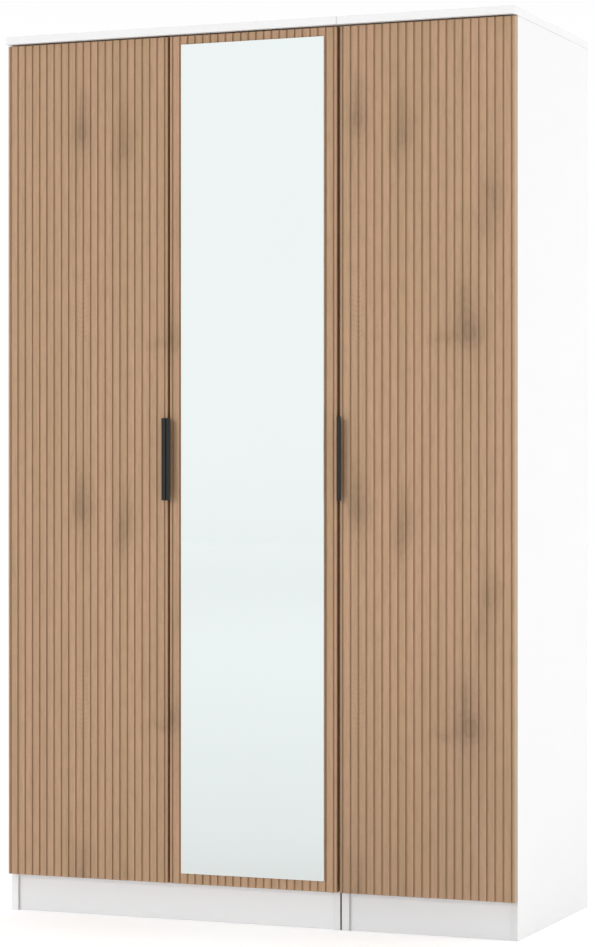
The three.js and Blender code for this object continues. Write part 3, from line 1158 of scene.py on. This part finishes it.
class WARDROBE_OT_bolts(bpy.types.Operator):
    """Make the bolts that join the two units"""

    bl_idname = "wardrobe.bolts"
    bl_label = "Connector bolts"

    def execute(self, context):
        steel = bpy.data.materials["nickel_steel"]
        nodes = [node for node in sorted(frame["nodes"]) if node.startswith("connector_bolt")]
        low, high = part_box(nodes[0])
        length = high.x - low.x
        radius = (high.z - low.z) / 2
        thick = 2.5 * MM
        soft = 0.6 * MM
        shank = 3 * MM
        recess_radius = 2.3 * MM
        recess_depth = 1.6 * MM
        profile = [
            (0, 0), (radius - soft, 0), (radius, soft), (radius, thick), (shank, thick),
            (shank, length - thick), (radius, length - thick), (radius, length - soft),
            (radius - soft, length), (0, length),
        ]
        recess = [
            (0, -recess_depth), (recess_radius, -recess_depth), (recess_radius, recess_depth),
            (0, recess_depth),
        ]
        turn = Matrix.Rotation(math.pi / 2, 4, "Y")
        bolt = turned("bolt", profile, 40, turn)
        sockets = [
            turned("recess", recess, 6, Matrix.Translation((at, 0, 0)) @ turn)
            for at in (0, length)
        ]
        shade_round(carve(bolt, sockets))
        places = {node: middle(node) for node in nodes}
        fronts = min(place.y for place in places.values())
        rears = max(place.y for place in places.values())
        lowest = min(place.z for place in places.values())
        highest = max(place.z for place in places.values())
        four = repeated(
            "connector_bolts", bolt, steel, 2, (low.x, fronts, lowest),
            (0, rears - fronts, 0), 2, (0, 0, highest - lowest),
        )
        settle(four, [steel], nodes)
        forget(bolt)
        return {"FINISHED"}


class WARDROBE_OT_back_pins(bpy.types.Operator):
    """Make the panel pins round the back panels"""

    bl_idname = "wardrobe.back_pins"
    bl_label = "Back panel pins"

    def execute(self, context):
        steel = bpy.data.materials["nickel_steel"]
        radius = 1.1 * MM
        flat = 0.8 * MM
        deep = 1 * MM
        profile = [(0, -deep), (radius, -deep), (radius, -0.15 * MM), (flat, 0), (0, 0)]
        turn = Matrix.Rotation(-math.pi / 2, 4, "X")
        pin = turned("pin", profile, 12, turn)
        inset = 7 * MM
        spacing = 118 * MM
        for unit in ("double", "single"):
            low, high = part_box(f"{unit}_back_panel")
            width = high.x - low.x - 2 * inset
            height = high.z - low.z - 2 * inset
            start = (low.x + inset, high.y, low.z + inset)
            columns = round(width / spacing)
            rows = round(height / spacing)
            across = repeated(
                f"{unit}_back_pins_across", pin, steel, columns + 1, start,
                (width / columns, 0, 0), 2, (0, 0, height),
            )
            start = (low.x + inset, high.y, low.z + inset + height / rows)
            up = repeated(
                f"{unit}_back_pins_up", pin, steel, rows - 1, start,
                (0, 0, height / rows), 2, (width, 0, 0),
            )
            for piece in (across, up):
                settle(piece, [steel], [], CARCASS, "plain_steel")
        forget(pin)
        return {"FINISHED"}


# The studio: where the key light shines from and how soft it is, the side light's place and
# size, and the steepness over which the sky darkens above eye level and brightens overhead.
KEY_FROM = (-0.62, -1.0, 0.42)
KEY_SOFTNESS = math.radians(18)
SIDE_PLACE = (3.8, 0.35, 0.9)
SIDE_SIZE = (1.6, 4.4)
SKY_DARKENS = (0.14, 0.40)
SKY_BRIGHTENS = (0.60, 0.85)
CAMERA_PLACE = (2.26, -5.60895, 0.9139)
FLOOR_HALF = 30


class WARDROBE_OT_stage(bpy.types.Operator):
    """Lay the floor, set the lights and place the camera"""

    bl_idname = "wardrobe.stage"
    bl_label = "Stage"

    def aim(self, name, data, place, toward):
        """Adds a light that shines along a direction and isn't seen in the mirror."""
        light = bpy.data.objects.new(name, data)
        light.location = place
        light.rotation_euler = Vector(toward).to_track_quat("-Z", "Y").to_euler()
        light.visible_glossy = False
        bpy.context.scene.collection.objects.link(light)

    def area_light(self, name, place, target, size, power):
        data = bpy.data.lights.new(name, "AREA")
        data.shape = "RECTANGLE"
        data.size, data.size_y = size
        data.energy = power
        self.aim(name, data, place, Vector(target) - Vector(place))

    def sun(self, name, place, softness, strength):
        """A distant light that comes from the direction of a place."""
        data = bpy.data.lights.new(name, "SUN")
        data.angle = softness
        data.energy = strength
        self.aim(name, data, place, -Vector(place))

    def execute(self, context):
        stage = context.scene.wardrobe_stage
        low, high = CAD_BOUNDS
        floor = object_from("floor", lambda bm: bmesh.ops.create_grid(
            bm, x_segments=1, y_segments=1, size=FLOOR_HALF,
        ))
        floor.data.materials.append(pale_floor(stage))

        world = bpy.data.worlds.new("white_studio")
        world.use_nodes = True
        sky = Graph(world.node_tree)
        direction = sky.node("ShaderNodeTexCoord", output="Generated")
        up = sky.math("ABSOLUTE", sky.node("ShaderNodeSeparateXYZ", None, {0: direction}, "Z"))
        falling = sky.smooth(up, *SKY_DARKENS) * (stage.shoulder - stage.horizon)
        rising = sky.smooth(up, *SKY_BRIGHTENS) * (stage.zenith - stage.shoulder)
        light = sky.node("ShaderNodeBackground", None, {
            "Color": (1, 1, 1, 1), "Strength": falling + rising + stage.horizon,
        })
        sky.node("ShaderNodeOutputWorld", None, {"Surface": light})
        context.scene.world = world
        context.scene.view_settings.view_transform = "Standard"

        side_middle = (high.x, 0, (low.z + high.z) / 2)
        self.sun("key_light", KEY_FROM, KEY_SOFTNESS, stage.key_strength)
        self.area_light("side_light", SIDE_PLACE, side_middle, SIDE_SIZE, stage.side_power)

        data = bpy.data.cameras.new("camera")
        data.lens = stage.lens
        data.sensor_width = 36
        data.clip_end = 100
        camera = bpy.data.objects.new("camera", data)
        camera.location = CAMERA_PLACE
        camera.rotation_euler = (math.pi / 2, 0, stage.yaw)
        context.scene.collection.objects.link(camera)
        context.scene.camera = camera
        return {"FINISHED"}


class WARDROBE_OT_metals(bpy.types.Operator):
    """Prepare the plated steel that screws, hinges and bolts share"""

    bl_idname = "wardrobe.metals"
    bl_label = "Plated steel"

    def execute(self, context):
        metal = context.scene.wardrobe_metal
        plated_metal("nickel_steel", tuple(metal.steel), 0.22, 0.42, 1.0)
        return {"FINISHED"}


class WARDROBE_PT_panel(bpy.types.Panel):
    """The wardrobe's steps, in order"""

    bl_idname = "WARDROBE_PT_panel"
    bl_label = "Wardrobe"
    bl_space_type = "VIEW_3D"
    bl_region_type = "UI"
    bl_category = "Wardrobe"

    def draw(self, context):
        for step in STEPS:
            self.layout.operator(step.bl_idname)


STEPS = (
    WARDROBE_OT_metals, WARDROBE_OT_boards, WARDROBE_OT_doors, WARDROBE_OT_mirror,
    WARDROBE_OT_handles, WARDROBE_OT_hinges, WARDROBE_OT_rails, WARDROBE_OT_bolts,
    WARDROBE_OT_back_pins, WARDROBE_OT_stage,
)
SETTINGS = {
    "wardrobe_doors": DoorSettings,
    "wardrobe_boards": BoardSettings,
    "wardrobe_mirror": MirrorSettings,
    "wardrobe_metal": MetalSettings,
    "wardrobe_stage": StageSettings,
}


def register():
    for settings in SETTINGS.values():
        bpy.utils.register_class(settings)
    for name, settings in SETTINGS.items():
        setattr(bpy.types.Scene, name, PointerProperty(type=settings))
    for step in STEPS:
        bpy.utils.register_class(step)
    bpy.utils.register_class(WARDROBE_PT_panel)


def unregister():
    bpy.utils.unregister_class(WARDROBE_PT_panel)
    for step in reversed(STEPS):
        bpy.utils.unregister_class(step)
    for name, settings in SETTINGS.items():
        delattr(bpy.types.Scene, name)
        bpy.utils.unregister_class(settings)


def main():
    register()
    for step in STEPS:
        group, name = step.bl_idname.split(".")
        getattr(getattr(bpy.ops, group), name)()


if __name__ == "__main__":
    main()
